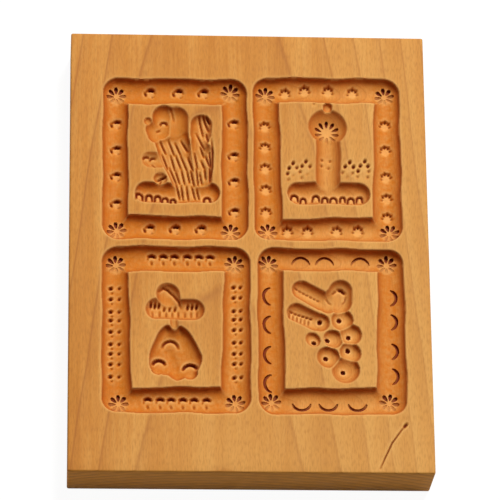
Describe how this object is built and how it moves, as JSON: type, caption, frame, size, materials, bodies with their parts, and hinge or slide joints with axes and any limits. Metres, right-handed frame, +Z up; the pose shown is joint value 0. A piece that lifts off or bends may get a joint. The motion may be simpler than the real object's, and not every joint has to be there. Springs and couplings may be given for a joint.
{
  "type": "springerle mould",
  "caption": "Flat wooden biscuit mould with sunk pictures of a squirrel, a tree, a pear and grapes, each in a gouged and punched border, pressed on dough to emboss it.",
  "frame": {"origin": "middle of the underside, on the surface that the board lies on", "axes": "+Z up, out of the carved face; +Y along the grain towards the upper edge of the pictures; +X to the right of the pictures"},
  "size_m": [0.108, 0.14, 0.018],
  "materials": {
    "board_wood": "close-grained hardwood, planed, carved by hand and oiled; a warm orange tan"
  },
  "bodies": {
    "root": {"mould_board": "board_wood"}
  },
  "joints": []
}
